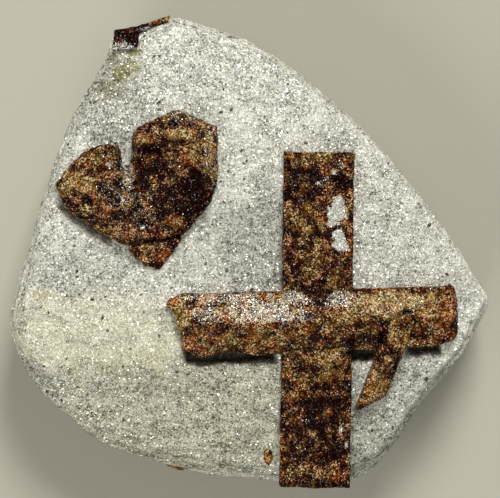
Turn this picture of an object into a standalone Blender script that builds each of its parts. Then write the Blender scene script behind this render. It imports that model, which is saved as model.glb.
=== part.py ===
"""A staurolite specimen: a cross twin, a heart-shaped twin and three small crystals in mica schist.

The slab lies on its flat back. +Z points out of its crystal-bearing front, +Y to the top of the slab
and +X to its right. The origin is the centre of the back, on the surface that it rests on.
Measures below are millimetres, turned into metres as the meshes are made.
"""

import math

import bmesh
import bpy
import numpy as np
from mathutils import Vector

MM = 0.001
GAP = 0.30  # clearance between a crystal and the stone around it

# ---- driving dimensions: the schist slab ----
FRONT_HEIGHT = 17.0  # thickness of the slab at its middle
BACK_LEVELS = ((0.0, 3.0), (0.5, 1.9), (1.6, 0.9), (4.2, 0.15), (8.0, 0.0), (12.0, 0.1))  # height, inset
RIM_LEVELS = ((3.0, 0.3), (1.5, 0.75), (0.6, 1.25), (0.12, 2.0))  # depth below the front, inset
RIM_BROADEST = 215.0  # direction in which the worn rim is broadest, in degrees from +X
RIM_VARIATION = 0.62
FRONT_RINGS = (0.84, 0.72, 0.60, 0.48, 0.34, 0.18)  # rings on the front, as shares of the outline
# Broad rises and hollows of the front: centre x and y, half-widths along x and y, height.
SWELLS = (
    (-20.0, -14.5, 13.0, 7.0, 0.8),
    (-22.0, -4.0, 8.0, 5.0, -0.4),
    (2.0, -1.0, 9.0, 6.5, -1.4),
    (21.0, -2.0, 8.0, 8.0, -0.7),
    (-18.0, 26.0, 4.0, 4.5, -1.0),
    (-16.0, 33.0, 8.0, 8.0, -1.4),
    (34.0, -7.0, 7.0, 7.0, -1.5),
)
LOWER_CREST = -15.5  # below this y the front falls away
LOWER_SLOPE = 0.14
CREST_WIDTH = 1.3
UPPER_CREST = 8.0  # above this y it falls ever faster
UPPER_FALL = 0.0022
OUTLINE_STEPS = 2  # points between two corners of the outline

# The widest outline of the slab, counter-clockwise from its left tip.
OUTLINE = (
    (-34.0, -11.3), (-31.5, -17.3), (-26.2, -23.6), (-18.7, -28.5), (-6.5, -31.7), (4.0, -32.9),
    (14.5, -32.6), (20.7, -27.4), (24.7, -21.4), (29.7, -15.4), (33.6, -8.0), (29.5, -0.2),
    (24.0, 7.5), (16.6, 16.1), (8.8, 23.3), (0.2, 29.3), (-7.8, 32.2), (-13.0, 33.2),
    (-19.0, 31.0), (-20.6, 27.0), (-24.4, 20.6), (-28.0, 11.5), (-31.0, 1.9), (-33.3, -6.0),
)

# ---- driving dimensions: the staurolite ----
PRISM_ANGLE = math.radians(129.5)  # between the two broad front faces of a staurolite prism
ROOF_SLOPE = (math.pi - PRISM_ANGLE) / 2  # so each face falls this much from the ridge

UPRIGHT_WIDTH = 9.85
UPRIGHT_TOP = (9.60, 13.6, 19.75)  # the upper end of its ridge
UPRIGHT_FOOT = (8.98, -33.3, 18.95)  # the lower end of its ridge
UPRIGHT_SIDE = 5.2  # height of its narrow side faces
UPRIGHT_ROOF = 0.70  # how much of its roof's slope is left, as its front is worn

BAR_WIDTH = 8.7
BAR_RIDGE = 20.55
BAR_SIDE = 5.2
# Along the bar, from its left end: axis position, height below the ridge line, share of the width and
# slant of the section, as its left end is broken off at an angle.
BAR_STATIONS = (
    (-10.4, -10.40, 1.30, 0.78, 0.26),
    (-8.3, -10.50, 0.0, 1.0, 0.26),
    (7.0, -10.05, 0.0, 0.985, 0.0),
    (25.6, -9.35, 0.0, 0.97, 0.0),
    (28.2, -9.10, 0.45, 0.84, 0.0),
    (28.9, -9.05, 1.60, 0.62, 0.0),
)

# Corners of the lesser crystals: x, y, height above the back of the slab.
NUB = (
    (-11.9, -7.6, 18.0), (-11.3, -6.8, 18.3), (-9.0, -6.3, 18.5), (-8.6, -8.6, 19.0), (-11.0, -8.7, 18.0),
    (-11.8, -7.6, 15.5), (-11.2, -6.9, 15.5), (-8.8, -6.5, 15.5), (-8.8, -9.0, 15.5), (-10.9, -8.8, 15.5),
)
BLADE = (
    (19.4, -10.0, 20.9), (22.7, -10.6, 20.6), (21.4, -9.1, 21.3), (14.9, -21.6, 18.1), (18.8, -20.5, 17.8),
    (16.8, -21.0, 18.8), (15.1, -22.6, 17.6), (19.0, -10.2, 14.5), (23.1, -10.9, 14.5), (14.8, -21.7, 14.5),
    (19.1, -20.6, 14.5), (15.2, -22.6, 14.5),
)
LEFT_LOBE = (
    (-27.2, 9.2, 18.0), (-25.2, 8.9, 19.7), (-21.2, 8.5, 20.9), (-23.4, 13.4, 18.7), (-21.4, 14.5, 18.9),
    (-19.0, 14.7, 18.9), (-17.9, 13.6, 18.2), (-18.9, 5.2, 20.5), (-16.0, 2.6, 20.0), (-26.6, 7.2, 18.1),
    (-25.2, 5.4, 18.3), (-23.2, 3.9, 18.5), (-21.0, 2.5, 18.5), (-18.2, 0.9, 18.4), (-16.3, 0.2, 18.4),
    (-17.2, 11.0, 18.2), (-16.2, 6.9, 18.5), (-15.0, 2.4, 18.9),
    (-27.3, 9.3, 13.0), (-24.2, 13.6, 13.0), (-20.0, 15.0, 13.0), (-18.0, 14.2, 13.0), (-14.6, 0.8, 13.0),
    (-19.6, 1.1, 13.0), (-24.6, 4.2, 13.0), (-26.6, 6.6, 13.0),
)
RIGHT_LOBE = (
    (-15.3, 14.2, 20.3), (-11.0, 13.2, 21.7), (-7.2, 12.4, 21.2), (-5.1, 11.6, 20.2), (-16.6, 12.6, 19.4),
    (-16.0, 16.1, 19.4), (-14.0, 17.8, 19.4), (-10.2, 19.4, 18.7), (-6.4, 17.8, 18.8), (-4.6, 17.0, 18.8),
    (-4.7, 9.4, 18.9), (-5.5, 7.0, 18.8), (-7.1, 4.6, 18.6), (-9.6, 2.0, 18.5), (-14.4, 1.4, 19.2),
    (-15.4, 7.4, 20.0), (-17.3, 10.0, 18.2), (-17.0, 6.2, 18.3), (-15.9, 2.2, 18.5),
    (-17.4, 13.7, 12.5), (-16.6, 17.1, 12.5), (-12.1, 19.7, 12.5), (-10.1, 20.3, 12.5), (-4.3, 17.7, 12.5),
    (-4.4, 10.5, 12.5), (-6.3, 5.5, 12.5), (-9.8, 1.3, 12.5), (-15.3, 1.2, 12.5), (-17.0, 4.9, 12.5),
)
HEART_WEDGE = (
    (-17.1, 0.0, 18.1), (-14.2, 0.8, 18.3), (-9.7, 1.3, 18.1), (-10.7, -0.35, 17.7), (-12.8, -2.85, 17.3),
    (-14.6, -2.25, 17.5), (-15.9, -1.3, 17.8), (-14.9, 3.0, 17.2), (-14.9, 3.0, 14.0), (-17.2, -0.1, 14.0),
    (-9.7, 1.5, 14.0), (-10.6, -0.5, 14.0), (-12.8, -3.0, 14.0), (-14.6, -2.45, 14.0), (-16.0, -1.5, 14.0),
)
CORNER_BLOCK = (
    (-19.2, 30.9, 14.9), (-19.5, 27.9, 14.7), (-15.8, 28.4, 15.4), (-15.6, 31.6, 15.2),
    (-18.1, 29.8, 9.5), (-18.1, 28.6, 9.5), (-16.3, 28.6, 9.5), (-16.1, 30.5, 9.5),
)
CORNER_STRIP = (
    (-16.0, 31.5, 15.1), (-11.2, 33.1, 14.4), (-11.2, 32.5, 14.7), (-16.0, 30.6, 15.3),
    (-16.1, 30.4, 11.5), (-12.4, 31.9, 11.5), (-12.4, 31.6, 11.5), (-16.1, 30.0, 11.5),
)
FOOT_CRYSTAL = (
    (1.85, -28.4, 15.3), (2.35, -27.9, 15.4), (3.0, -28.4, 15.4), (3.2, -29.5, 15.3), (2.6, -30.5, 14.8),
    (1.9, -29.9, 14.9), (1.85, -28.4, 12.0), (2.35, -27.9, 12.0), (3.0, -28.4, 12.0), (3.2, -29.5, 12.0),
    (2.6, -30.5, 12.0), (1.9, -29.9, 12.0),
)
RIM_CRYSTAL = (
    (-12.3, -30.4, 9.2), (-11.8, -31.1, 9.0), (-9.7, -31.6, 9.3), (-9.2, -31.2, 10.0), (-9.6, -30.6, 11.0),
    (-11.4, -30.2, 11.2), (-12.1, -28.3, 9.2), (-9.4, -28.6, 9.4), (-9.6, -28.4, 10.9), (-11.6, -28.2, 11.1),
)

# The hollow that weathering has left along the lower edge of the bar: x range, width, depth.
HOLLOWS = ((-9.6, 3.4, 1.9, 1.5), (14.9, 17.2, 1.6, 1.3), (23.0, 26.6, 1.6, 1.3))
HOLLOW_EDGE = ((-9.6, -15.0), (26.6, -13.6))  # the line in the slab along which they lie

SCHIST = ("mica_schist", (0.56, 0.56, 0.49), 0.55, 0.0)
STAUROLITE = ("staurolite", (0.11, 0.055, 0.025), 0.38, 0.0)


def clear_scene():
    for obj in list(bpy.data.objects):
        bpy.data.objects.remove(obj, do_unlink=True)


def material(spec):
    """A Principled material from a name, a linear colour, a roughness and a metallic value."""
    name, colour, roughness, metallic = spec
    found = bpy.data.materials.get(name)
    if found:
        return found
    made = bpy.data.materials.new(name)
    made.use_nodes = True
    shader = made.node_tree.nodes["Principled BSDF"]
    shader.inputs["Base Color"].default_value = (*colour, 1.0)
    shader.inputs["Roughness"].default_value = roughness
    shader.inputs["Metallic"].default_value = metallic
    made.diffuse_color = (*colour, 1.0)
    return made


def add_object(name, bm, spec=None):
    """Makes an object of a closed bmesh, with its faces turned outwards."""
    bmesh.ops.recalc_face_normals(bm, faces=bm.faces)
    mesh = bpy.data.meshes.new(name)
    bm.to_mesh(mesh)
    bm.free()
    obj = bpy.data.objects.new(name, mesh)
    bpy.context.scene.collection.objects.link(obj)
    if spec:
        mesh.materials.append(material(spec))
    return obj


def as_tool(obj):
    """Keeps an object out of the finished part: it only cuts, or is joined to another."""
    obj.display_type = "WIRE"
    obj.hide_render = True
    return obj


def boolean(obj, tool, operation):
    mod = obj.modifiers.new(f"{operation.lower()} {tool.name}", "BOOLEAN")
    mod.operation = operation
    mod.solver = "EXACT"
    mod.object = tool
    return mod


# ---- the slab ----

def smooth_outline(corners, steps):
    """A Catmull-Rom curve through the corners of a closed outline."""
    points = np.array(corners)
    before, after, beyond = (np.roll(points, k, axis=0) for k in (1, -1, -2))
    curve = []
    for i in range(len(points)):
        for j in range(steps):
            t = j / steps
            curve.append(0.5 * (
                2 * points[i]
                + (after[i] - before[i]) * t
                + (2 * before[i] - 5 * points[i] + 4 * after[i] - beyond[i]) * t * t
                + (3 * points[i] - before[i] - 3 * after[i] + beyond[i]) * t ** 3
            ))
    return curve


def front_height(x, y):
    """The gently swelling front of the slab, which falls away towards its upper and lower edges."""
    swell = sum(
        height * math.exp(-((x - cx) / rx) ** 2 - ((y - cy) / ry) ** 2)
        for cx, cy, rx, ry, height in SWELLS
    )
    lower_fall = LOWER_SLOPE * CREST_WIDTH * math.log1p(math.exp((LOWER_CREST - y) / CREST_WIDTH))
    upper_fall = UPPER_FALL * max(0.0, y - UPPER_CREST) ** 2
    return FRONT_HEIGHT + swell - lower_fall - upper_fall


def rim_width(x, y):
    """How broad the worn rim is: broadest at the lower left, sharpest at the upper right."""
    from_lower_left = math.atan2(y, x) - math.radians(RIM_BROADEST)
    return 1.0 + RIM_VARIATION * math.cos(from_lower_left)


def ring_points(outline, inset, height_of):
    ring = []
    for x, y in outline:
        radius = math.hypot(x, y)
        share = 1 - inset(x, y) / radius
        ring.append(Vector((x * share, y * share, height_of(x * share, y * share))))
    return ring


def slab_rings(outline):
    """The rings of the slab, from the edge of its flat back to the last one on its front."""
    rings = []
    for height, inset in BACK_LEVELS:
        rings.append(ring_points(outline, lambda x, y: inset, lambda x, y: height))
    for depth, inset in RIM_LEVELS:
        rings.append(ring_points(
            outline,
            lambda x, y: inset * rim_width(x, y),
            lambda x, y: front_height(x, y) - depth,
        ))
    for share in FRONT_RINGS:
        rings.append([
            Vector((x * share, y * share, front_height(x * share, y * share))) for x, y in outline
        ])
    return rings


def loft(rings, tip=None):
    """A closed skin over rings of equally many points, with a flat first end."""
    bm = bmesh.new()
    loops = [[bm.verts.new(point * MM) for point in ring] for ring in rings]
    count = len(loops[0])
    for low, high in zip(loops, loops[1:]):
        for i in range(count):
            bm.faces.new((low[i], low[(i + 1) % count], high[(i + 1) % count], high[i]))
    bm.faces.new(list(reversed(loops[0])))
    if tip is None:
        bm.faces.new(loops[-1])
    else:
        apex = bm.verts.new(tip * MM)
        for i in range(count):
            bm.faces.new((loops[-1][i], loops[-1][(i + 1) % count], apex))
    return bm


def make_slab():
    rings = slab_rings(smooth_outline(OUTLINE, OUTLINE_STEPS))
    return add_object("schist_matrix", loft(rings, Vector((0, 0, front_height(0, 0)))), SCHIST)


# ---- the crystals ----

def prism_section(width, ridge, side, roof_left=1.0):
    """Half-width offsets and heights of a staurolite prism's six edges, ridge first."""
    half = width / 2
    roof = half * math.tan(ROOF_SLOPE)
    shoulder = ridge - roof * roof_left
    return (
        (0.0, ridge),
        (-half, shoulder),
        (-half, shoulder - side),
        (0.0, shoulder - side - roof),
        (half, shoulder - side),
        (half, shoulder),
    )


def prism_ring(centre, along, section, slant=0.0):
    """A section set across the direction `along`, which lies in the plane of the slab, or at a slant."""
    across = Vector((-along.y, along.x, 0)).normalized()
    across -= Vector((along[0], along[1], 0)).normalized() * slant
    return [Vector((centre[0], centre[1], 0)) + across * s + Vector((0, 0, z)) for s, z in section]


def make_upright():
    ends = [Vector(UPRIGHT_TOP), Vector(UPRIGHT_FOOT)]
    along = ends[1] - ends[0]
    return loft([
        prism_ring(end, along, prism_section(UPRIGHT_WIDTH, end.z, UPRIGHT_SIDE, UPRIGHT_ROOF)) for end in ends
    ])


def make_bar():
    rings = []
    along = Vector(BAR_STATIONS[-2][:2]) - Vector(BAR_STATIONS[1][:2])
    for x, y, drop, share, slant in BAR_STATIONS:
        section = prism_section(BAR_WIDTH * share, BAR_RIDGE - drop, BAR_SIDE * share)
        rings.append(prism_ring((x, y), along, section, slant))
    return loft(rings)


def hull(corners):
    bm = bmesh.new()
    verts = [bm.verts.new(Vector(corner) * MM) for corner in corners]
    result = bmesh.ops.convex_hull(bm, input=verts)
    inside = {v for v in result["geom_interior"] + result["geom_unused"] if isinstance(v, bmesh.types.BMVert)}
    bmesh.ops.delete(bm, geom=list(inside), context="VERTS")
    bmesh.ops.dissolve_limit(bm, angle_limit=math.radians(1), verts=bm.verts, edges=bm.edges)
    return bm


def grown(bm):
    """The same convex shape with every face moved out by the gap, to cut a socket with."""
    bmesh.ops.recalc_face_normals(bm, faces=bm.faces)
    bm.normal_update()
    moves = [v.normal * v.calc_shell_factor() * GAP * MM for v in bm.verts]
    for vert, move in zip(bm.verts, moves):
        vert.co += move
    return bm


def join(name, shapes):
    """Crystals grown together: the first takes the others in."""
    body = add_object(name, shapes[0], STAUROLITE)
    for i, shape in enumerate(shapes[1:]):
        boolean(body, as_tool(add_object(f"{name}_member_{i}", shape)), "UNION")
    return body


def cut_sockets(slab, name, shapes):
    for i, shape in enumerate(shapes):
        boolean(slab, as_tool(add_object(f"{name}_socket_{i}", grown(shape))), "DIFFERENCE")


def cut_hollows(slab):
    """The weathered hollows: troughs with sloping walls along the lower edge of the bar."""
    start, end = (Vector(point) for point in HOLLOW_EDGE)
    slope = (end.y - start.y) / (end.x - start.x)
    for i, (x0, x1, width, depth) in enumerate(HOLLOWS):
        rings = []
        for x in (x0, x1):
            y = start.y + slope * (x - start.x)
            rings.append([
                Vector((x, y + 1.2, FRONT_HEIGHT + 2.5)),
                Vector((x, y + 0.8, FRONT_HEIGHT - depth)),
                Vector((x, y - 0.25 * width, FRONT_HEIGHT - depth)),
                Vector((x, y - width, FRONT_HEIGHT + 2.5)),
            ])
        boolean(slab, as_tool(add_object(f"hollow_{i}", loft(rings))), "DIFFERENCE")


def build():
    clear_scene()
    slab = make_slab()
    cut_hollows(slab)
    families = {
        "cross_twin": lambda: [make_upright(), make_bar(), hull(BLADE), hull(NUB)],
        "heart_twin": lambda: [hull(LEFT_LOBE), hull(RIGHT_LOBE), hull(HEART_WEDGE)],
        "corner_crystal": lambda: [hull(CORNER_BLOCK), hull(CORNER_STRIP)],
        "foot_crystal": lambda: [hull(FOOT_CRYSTAL)],
        "rim_crystal": lambda: [hull(RIM_CRYSTAL)],
    }
    for name, shapes in families.items():
        join(name, shapes())
        cut_sockets(slab, name, shapes())


build()
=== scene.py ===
# %% [markdown]
# # A staurolite cross in mica schist
#
# A hand specimen: a worn slab of silvery mica schist with two staurolite twins on its front, a cross and
# a heart, and three lesser crystals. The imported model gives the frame: where each solid lies, in metres,
# with +Z out of the front. Relief, thousands of glittering mica plates and mottled skins are added here.

# %% Load the frame
import math

import bmesh
import bpy
import numpy as np
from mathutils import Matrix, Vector, noise
from mathutils.bvhtree import BVHTree


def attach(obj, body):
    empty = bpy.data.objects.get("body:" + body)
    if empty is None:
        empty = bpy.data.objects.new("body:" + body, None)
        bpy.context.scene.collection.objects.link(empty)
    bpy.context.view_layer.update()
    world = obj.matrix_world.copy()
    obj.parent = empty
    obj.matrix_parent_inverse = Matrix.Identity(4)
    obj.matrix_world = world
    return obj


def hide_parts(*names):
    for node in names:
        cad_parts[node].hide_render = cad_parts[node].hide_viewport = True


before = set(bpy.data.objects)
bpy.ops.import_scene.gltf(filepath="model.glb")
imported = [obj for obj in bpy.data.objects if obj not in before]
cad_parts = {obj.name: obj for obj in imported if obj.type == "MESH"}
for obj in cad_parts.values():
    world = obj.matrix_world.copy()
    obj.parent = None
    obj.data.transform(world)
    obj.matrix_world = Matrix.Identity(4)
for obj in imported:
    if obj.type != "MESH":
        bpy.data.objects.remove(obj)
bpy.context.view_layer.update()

MM = 0.001

# %% [markdown]
# ## Camera
#
# A loose stone lies on its back, so the camera looks straight down on its front. It stands well back with
# a long lens, as for a catalogue picture, so that the crystals' sides hardly show.

# %% Camera
CAMERA_HEIGHT = 437 * MM  # above the floor, 420 mm above the front of the slab
FIELD_WIDTH = 70 * MM  # what the picture's width takes in, at the front of the slab
FRONT_HEIGHT = 17 * MM
SENSOR_WIDTH = 36.0
PICTURE_CENTRE = Vector((-0.07 * MM, 0.07 * MM))

link = bpy.context.scene.collection.objects.link  # puts an object into the scene
camera_data = bpy.data.cameras.new("camera")
camera_data.sensor_width = SENSOR_WIDTH
camera_data.lens = SENSOR_WIDTH * (CAMERA_HEIGHT - FRONT_HEIGHT) / FIELD_WIDTH
camera = bpy.data.objects.new("camera", camera_data)
camera.location = (*PICTURE_CENTRE, CAMERA_HEIGHT)
link(camera)
bpy.context.scene.camera = camera
print("lens in mm:", round(camera_data.lens, 1))

# %% [markdown]
# ## Light
#
# Mica glitters only under a light that is small enough for single plates to mirror, and the bar's roof
# flashes only when the light stands where it is mirrored. So the key is a modest softbox beyond the top
# of the slab, half way up the sky. A broad soft fill, low at the lower left, brightens the worn rim. A
# bright stone keeps its contrast best with the plain view transform.

# %% Lights
LAMP_COLOUR = (1.0, 0.985, 0.93)
ROOM_COLOUR, ROOM_STRENGTH = (0.80, 0.79, 0.74, 1), 0.38


def softbox(name, azimuth, elevation, distance, size, power):
    """A square area light that looks at the middle of the slab; azimuth 0 stands towards +Y."""
    data = bpy.data.lights.new(name, "AREA")
    data.size = size
    data.energy = power
    data.color = LAMP_COLOUR
    light = bpy.data.objects.new(name, data)
    turn, rise = math.radians(azimuth), math.radians(elevation)
    away = Vector((math.sin(turn) * math.cos(rise), math.cos(turn) * math.cos(rise), math.sin(rise)))
    light.location = away * distance
    light.rotation_euler = away.to_track_quat("Z", "Y").to_euler()
    link(light)
    print(name, "light at mm:", [round(place / MM) for place in light.location])


softbox("key", azimuth=14, elevation=46, distance=0.70, size=0.22, power=4.6)
softbox("fill", azimuth=215, elevation=30, distance=0.80, size=0.60, power=4.4)

world = bpy.data.worlds.new("studio")
world.use_nodes = True
room = world.node_tree.nodes["Background"].inputs
room["Color"].default_value = ROOM_COLOUR
room["Strength"].default_value = ROOM_STRENGTH
bpy.context.scene.world = world
bpy.context.scene.view_settings.view_transform = "Standard"

# %% [markdown]
# ## Node trees as sums
#
# Node trees are easier to read as formulas. `Wire` holds one output of a node and overloads the
# arithmetic signs, and `Graph` adds a node in one call: its kind, its settings, and what goes into its
# sockets. The patterns below are then plain expressions such as `1 - mask`.

# %% Wires and graphs
class Wire:
    """An output socket that can be added, subtracted, multiplied and raised to a power."""

    def __init__(self, graph, socket):
        self.graph, self.socket = graph, socket

    def maths(self, operation, *values):
        return self.graph.add("ShaderNodeMath", {"operation": operation}, dict(enumerate(values)))

    def __add__(self, other):
        return self.maths("ADD", self, other)

    def __sub__(self, other):
        return self.maths("SUBTRACT", self, other)

    def __rsub__(self, other):
        return self.maths("SUBTRACT", other, self)

    def __mul__(self, other):
        return self.maths("MULTIPLY", self, other)

    def __pow__(self, other):
        return self.maths("POWER", self, other)

    __radd__, __rmul__ = __add__, __mul__


class Graph:
    """A node tree to which nodes are added one call at a time."""

    def __init__(self, tree):
        self.tree = tree

    def add(self, kind, settings, values, output=0):
        """Adds a node, sets its settings, then fills its sockets with values or links."""
        node = self.tree.nodes.new(kind)
        for name, value in settings.items():
            if name == "stops":
                self.set_stops(node.color_ramp, value)
            else:
                setattr(node, name, value)
        for name, value in values.items():
            if isinstance(value, Wire):
                self.tree.links.new(value.socket, node.inputs[name])
            else:
                node.inputs[name].default_value = value
        return Wire(self, node.outputs[output])

    def vector(self, operation, *values, **named):
        output = "Value" if operation == "LENGTH" else "Vector"
        values = {**dict(enumerate(values)), **named}
        return self.add("ShaderNodeVectorMath", {"operation": operation}, values, output)

    @staticmethod
    def set_stops(ramp, stops):
        while len(ramp.elements) < len(stops):
            ramp.elements.new(0.5)
        for element, (position, colour) in zip(ramp.elements, stops):
            element.position = position
            element.color = (*colour, 1)


# %% [markdown]
# ## One class for every finish
#
# Each finish is the standard surface with patterns linked to its sockets. Stone needs only a few: noise,
# grains, soft patches, weights stored on the mesh, and a normal that leans another way in each grain.
# They are written once here, in millimetres of the object, so a pattern stays put as the camera moves.

# %% Finishes
BUMP_HEIGHT, BUMP_STRENGTH = 0.10 * MM, 0.8


class Finish(Graph):
    """A Principled material whose sockets take numbers, colours and wires."""

    def __init__(self, name, **fixed):
        self.material = bpy.data.materials.new(name)
        self.material.use_nodes = True
        super().__init__(self.material.node_tree)
        self.shader = self.tree.nodes["Principled BSDF"]
        for socket, value in fixed.items():
            self.shader.inputs[socket.replace("_", " ")].default_value = value
        place = self.add("ShaderNodeTexCoord", {}, {}, "Object")
        self.place = self.vector("SCALE", place, Scale=1 / MM)  # in millimetres

    def along(self, axis):
        """How far the point lies along an axis, in mm: 0, 1 and 2 are x, y and z."""
        return self.add("ShaderNodeSeparateXYZ", {}, {0: self.place}, axis)

    def noise(self, scale, detail=2.0, place=None, roughness=0.5):
        values = {"Vector": place or self.place, "Scale": scale, "Detail": detail, "Roughness": roughness}
        return self.add("ShaderNodeTexNoise", {}, values, "Fac")

    def cells(self, size):
        """Crystal grains: a Voronoi pattern whose cells are about `size` mm across."""
        return self.add("ShaderNodeTexVoronoi", {}, {"Vector": self.place, "Scale": 1 / size}, "Color")

    def split(self, colour):
        """The three channels of a colour, as wires."""
        return [self.add("ShaderNodeSeparateColor", {}, {"Color": colour}, i) for i in range(3)]

    def step(self, value, low, high, to_low=0.0, to_high=1.0):
        """Runs smoothly from one number to another as the value passes from low to high."""
        values = {"Value": value, "From Min": low, "From Max": high, "To Min": to_low, "To Max": to_high}
        return self.add("ShaderNodeMapRange", {"interpolation_type": "SMOOTHSTEP"}, values)

    def ramp(self, value, *stops):
        return self.add("ShaderNodeValToRGB", {"stops": stops}, {"Fac": value})

    def mix(self, share, first, second, blend="MIX"):
        """Mixes two colours; on a Mix node of colours, sockets 0, 6 and 7 are Factor, A and B."""
        first, second = (c if isinstance(c, Wire) else (*c, 1) for c in (first, second))
        settings = {"data_type": "RGBA", "blend_type": blend}
        return self.add("ShaderNodeMix", settings, {0: share, 6: first, 7: second}, 2)

    def spot(self, x, y, rx, ry, ragged=0.35, wave=0.35):
        """1 in a soft patch of the front round (x, y) mm, 0 outside it; `ragged` tears its edge."""
        offset = self.vector("SUBTRACT", self.place, (x, y, 0))
        reach = self.vector("LENGTH", self.vector("MULTIPLY", offset, (1 / rx, 1 / ry, 0)))
        reach = reach + ragged * (self.noise(wave, 3.0) - 0.5) * 2
        return self.step(reach, 1.25, 0.55)

    def patches(self, table, **edge):
        """The sum of a table's soft patches: centre x and y, half-widths and strength of each."""
        return sum(self.spot(*patch, **edge) * strength for *patch, strength in table)

    def tilt(self, cells, amount):
        """The surface normal, leaning another way in each cell, so that grains mirror one by one."""
        lean = self.vector("SUBTRACT", cells, (0.5, 0.5, 0.5))
        lean = self.vector("SCALE", lean, Scale=amount)
        normal = self.add("ShaderNodeNewGeometry", {}, {}, "Normal")
        return self.vector("NORMALIZE", self.vector("ADD", normal, lean))

    def stored(self, name):
        """A weight that the mesh carries."""
        return self.add("ShaderNodeAttribute", {"attribute_name": name}, {}, "Fac")

    def bump(self, height, normal):
        values = {"Height": height, "Distance": BUMP_HEIGHT, "Strength": BUMP_STRENGTH, "Normal": normal}
        return self.add("ShaderNodeBump", {}, values)

    def wear(self, **links):
        """Links wires to the shader's own sockets and gives the finished material."""
        for socket, wire in links.items():
            self.tree.links.new(wire.socket, self.shader.inputs[socket.replace("_", " ")])
        print(self.material.name, "nodes:", len(self.tree.nodes))
        return self.material


# %% [markdown]
# ## Schist
#
# Mica schist is a felt of muscovite plates and quartz grains, each well under a millimetre. Every grain
# has its own grey and leans its own way. Voronoi cells give both: one colour channel picks the shade,
# and the whole colour tips the normal. Broad soft patches are cream or mossy, as the weather left them,
# or whiter, and the greyer ones are painted shade below the bar and in a few broad patches of the front.
# The plates that come later use the same tone and tints, to fit the stone under them.

# %% Tone and tints of the stone
CREAM, CREAM_TONE = (-22, -12, 15, 6.5), 0.60  # centre and half-widths of the finer, creamy part, mm
IRON_SPOT, LOWER_PART = (-29.4, -6.4, 1.8, 0.9), (-8, -24, 25, 10)
SHADE_BELOW = (-12.5, -15.5)  # y between which the painted shade sets in, mm
BEDS_BELOW = (16.0, 14.4)  # z between which the beds begin to show, mm
FELT, BEDS = (0.9, 2.6, 1.0), (0.10, 0.10, 1.5)  # how fine the streaks and beds are along x, y, z
# painted shade: broad darker patches of the front
SHADE_SPOTS = (  # here and in the next two: centre x and y, half-widths, strength; mm
    (2, 1, 8, 8, 1), (-22, -4, 9, 3, 0.6), (-19, 19, 5, 6, 1),
)
PALE = (
    (-3.2, 15.5, 4, 7.5, 0.13), (8.4, 16.5, 3, 6, 0.09), (30, -4, 6, 8, 0.09),
)
MOSS = (
    (-16.2, 27.7, 1.3, 0.6, 0.8), (-16.6, 25.8, 1.4, 0.9, 0.5), (-18.1, 24.6, 1.5, 0.9, 0.8),
    (-18.9, 26.4, 1.2, 1.8, 0.3), (-20.2, 22.4, 2.6, 2, 0.4), (-17.6, 24.6, 4.4, 4.2, 0.24),
)


def painted_shade(finish):
    """How much painted shade the stone takes: most below the bar and in the hollow left of the upright."""
    lower = finish.step(finish.along(1) + finish.noise(0.12) * 4, *SHADE_BELOW)
    return finish.step(lower + finish.patches(SHADE_SPOTS), 0.0, 1.0)


def stone_tone(finish, tone):
    """Adds to the grains' own tone the blotches, the streaks of the felt and the beds on the sides."""
    felt = finish.vector("MULTIPLY", finish.place, FELT)
    layers = finish.vector("MULTIPLY", finish.place, BEDS)
    blotches = finish.noise(0.5, 3.0) - 0.5
    streaks = finish.noise(0.8, 3.0, place=felt, roughness=0.6) - 0.5
    beds = finish.noise(1.0, 3.0, place=layers, roughness=0.6) - 0.5
    side = finish.step(finish.along(2), *BEDS_BELOW)
    tone = tone + blotches * 0.7 + streaks * 0.6 + beds * side * 1.1
    # painted shade: where it lies, the tone is darker and its grains differ more
    tone = tone + ((tone - 0.5) * 0.25 - 0.02) * painted_shade(finish)
    tone = tone + finish.patches(PALE)
    return tone + (CREAM_TONE - tone) * finish.spot(*CREAM) * 0.22


def stone_tints(finish, body):
    """Multiplies in the broad tints: cream, an iron spot, painted shade, the lower part and moss."""
    moss = finish.patches(MOSS, ragged=0.8, wave=1.1)
    tints = (
        (finish.spot(*CREAM) * 0.7, (0.97, 0.955, 0.79)),
        (finish.spot(*IRON_SPOT) * 0.7, (1.0, 0.86, 0.66)),
        # painted shade
        (painted_shade(finish), (0.76, 0.76, 0.75)),
        (finish.spot(*LOWER_PART) * 0.75, (0.97, 0.96, 0.82)),
        (finish.step(moss, 0.0, 1.0), (0.40, 0.38, 0.22)),
    )
    for share, colour in tints:
        body = finish.mix(share, body, colour, "MULTIPLY")
    return body


# %% Schist material
GRAIN_SIZE, DUST_SIZE = 0.21, 0.13  # mm
# painted shadow: the colour multiplied into the hollows beside the crystals
HOLLOW_SHADOW = (0.10, 0.075, 0.05)


def make_schist():
    finish = Finish("mica_schist", Roughness=0.5)
    grain = finish.cells(GRAIN_SIZE)
    shade, gloss, _ = finish.split(grain)
    fine, _, _ = finish.split(finish.cells(DUST_SIZE))
    body = finish.ramp(
        stone_tone(finish, shade * 0.68 + fine * 0.32),
        (0.02, (0.07, 0.07, 0.06)), (0.20, (0.29, 0.29, 0.25)),
        (0.50, (0.57, 0.57, 0.50)), (0.90, (0.92, 0.92, 0.84)),
    )
    body = stone_tints(finish, body)
    relief = finish.noise(1.6, 4.0) * 0.6 + fine * 0.4
    return finish.wear(
        Base_Color=finish.mix(finish.stored("stain"), body, HOLLOW_SHADOW, "MULTIPLY"),
        Roughness=finish.step(gloss, 0.0, 1.0, 0.25, 0.60),
        Normal=finish.bump(relief, finish.tilt(grain, 0.8)),
    )


schist = make_schist()

# %% [markdown]
# ## The slab's shape
#
# The slab was split along its layers and then worn, so its front and back are broad and gently swelling,
# its rim is rounded, and its sides show the layers' edges as low ledges. The outline and swells are those
# of the solid, with a sharper tip at the right, used at a finer step: a loft of rings, remeshed to even
# squares so that grain and ledges can be pressed into it.

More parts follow.
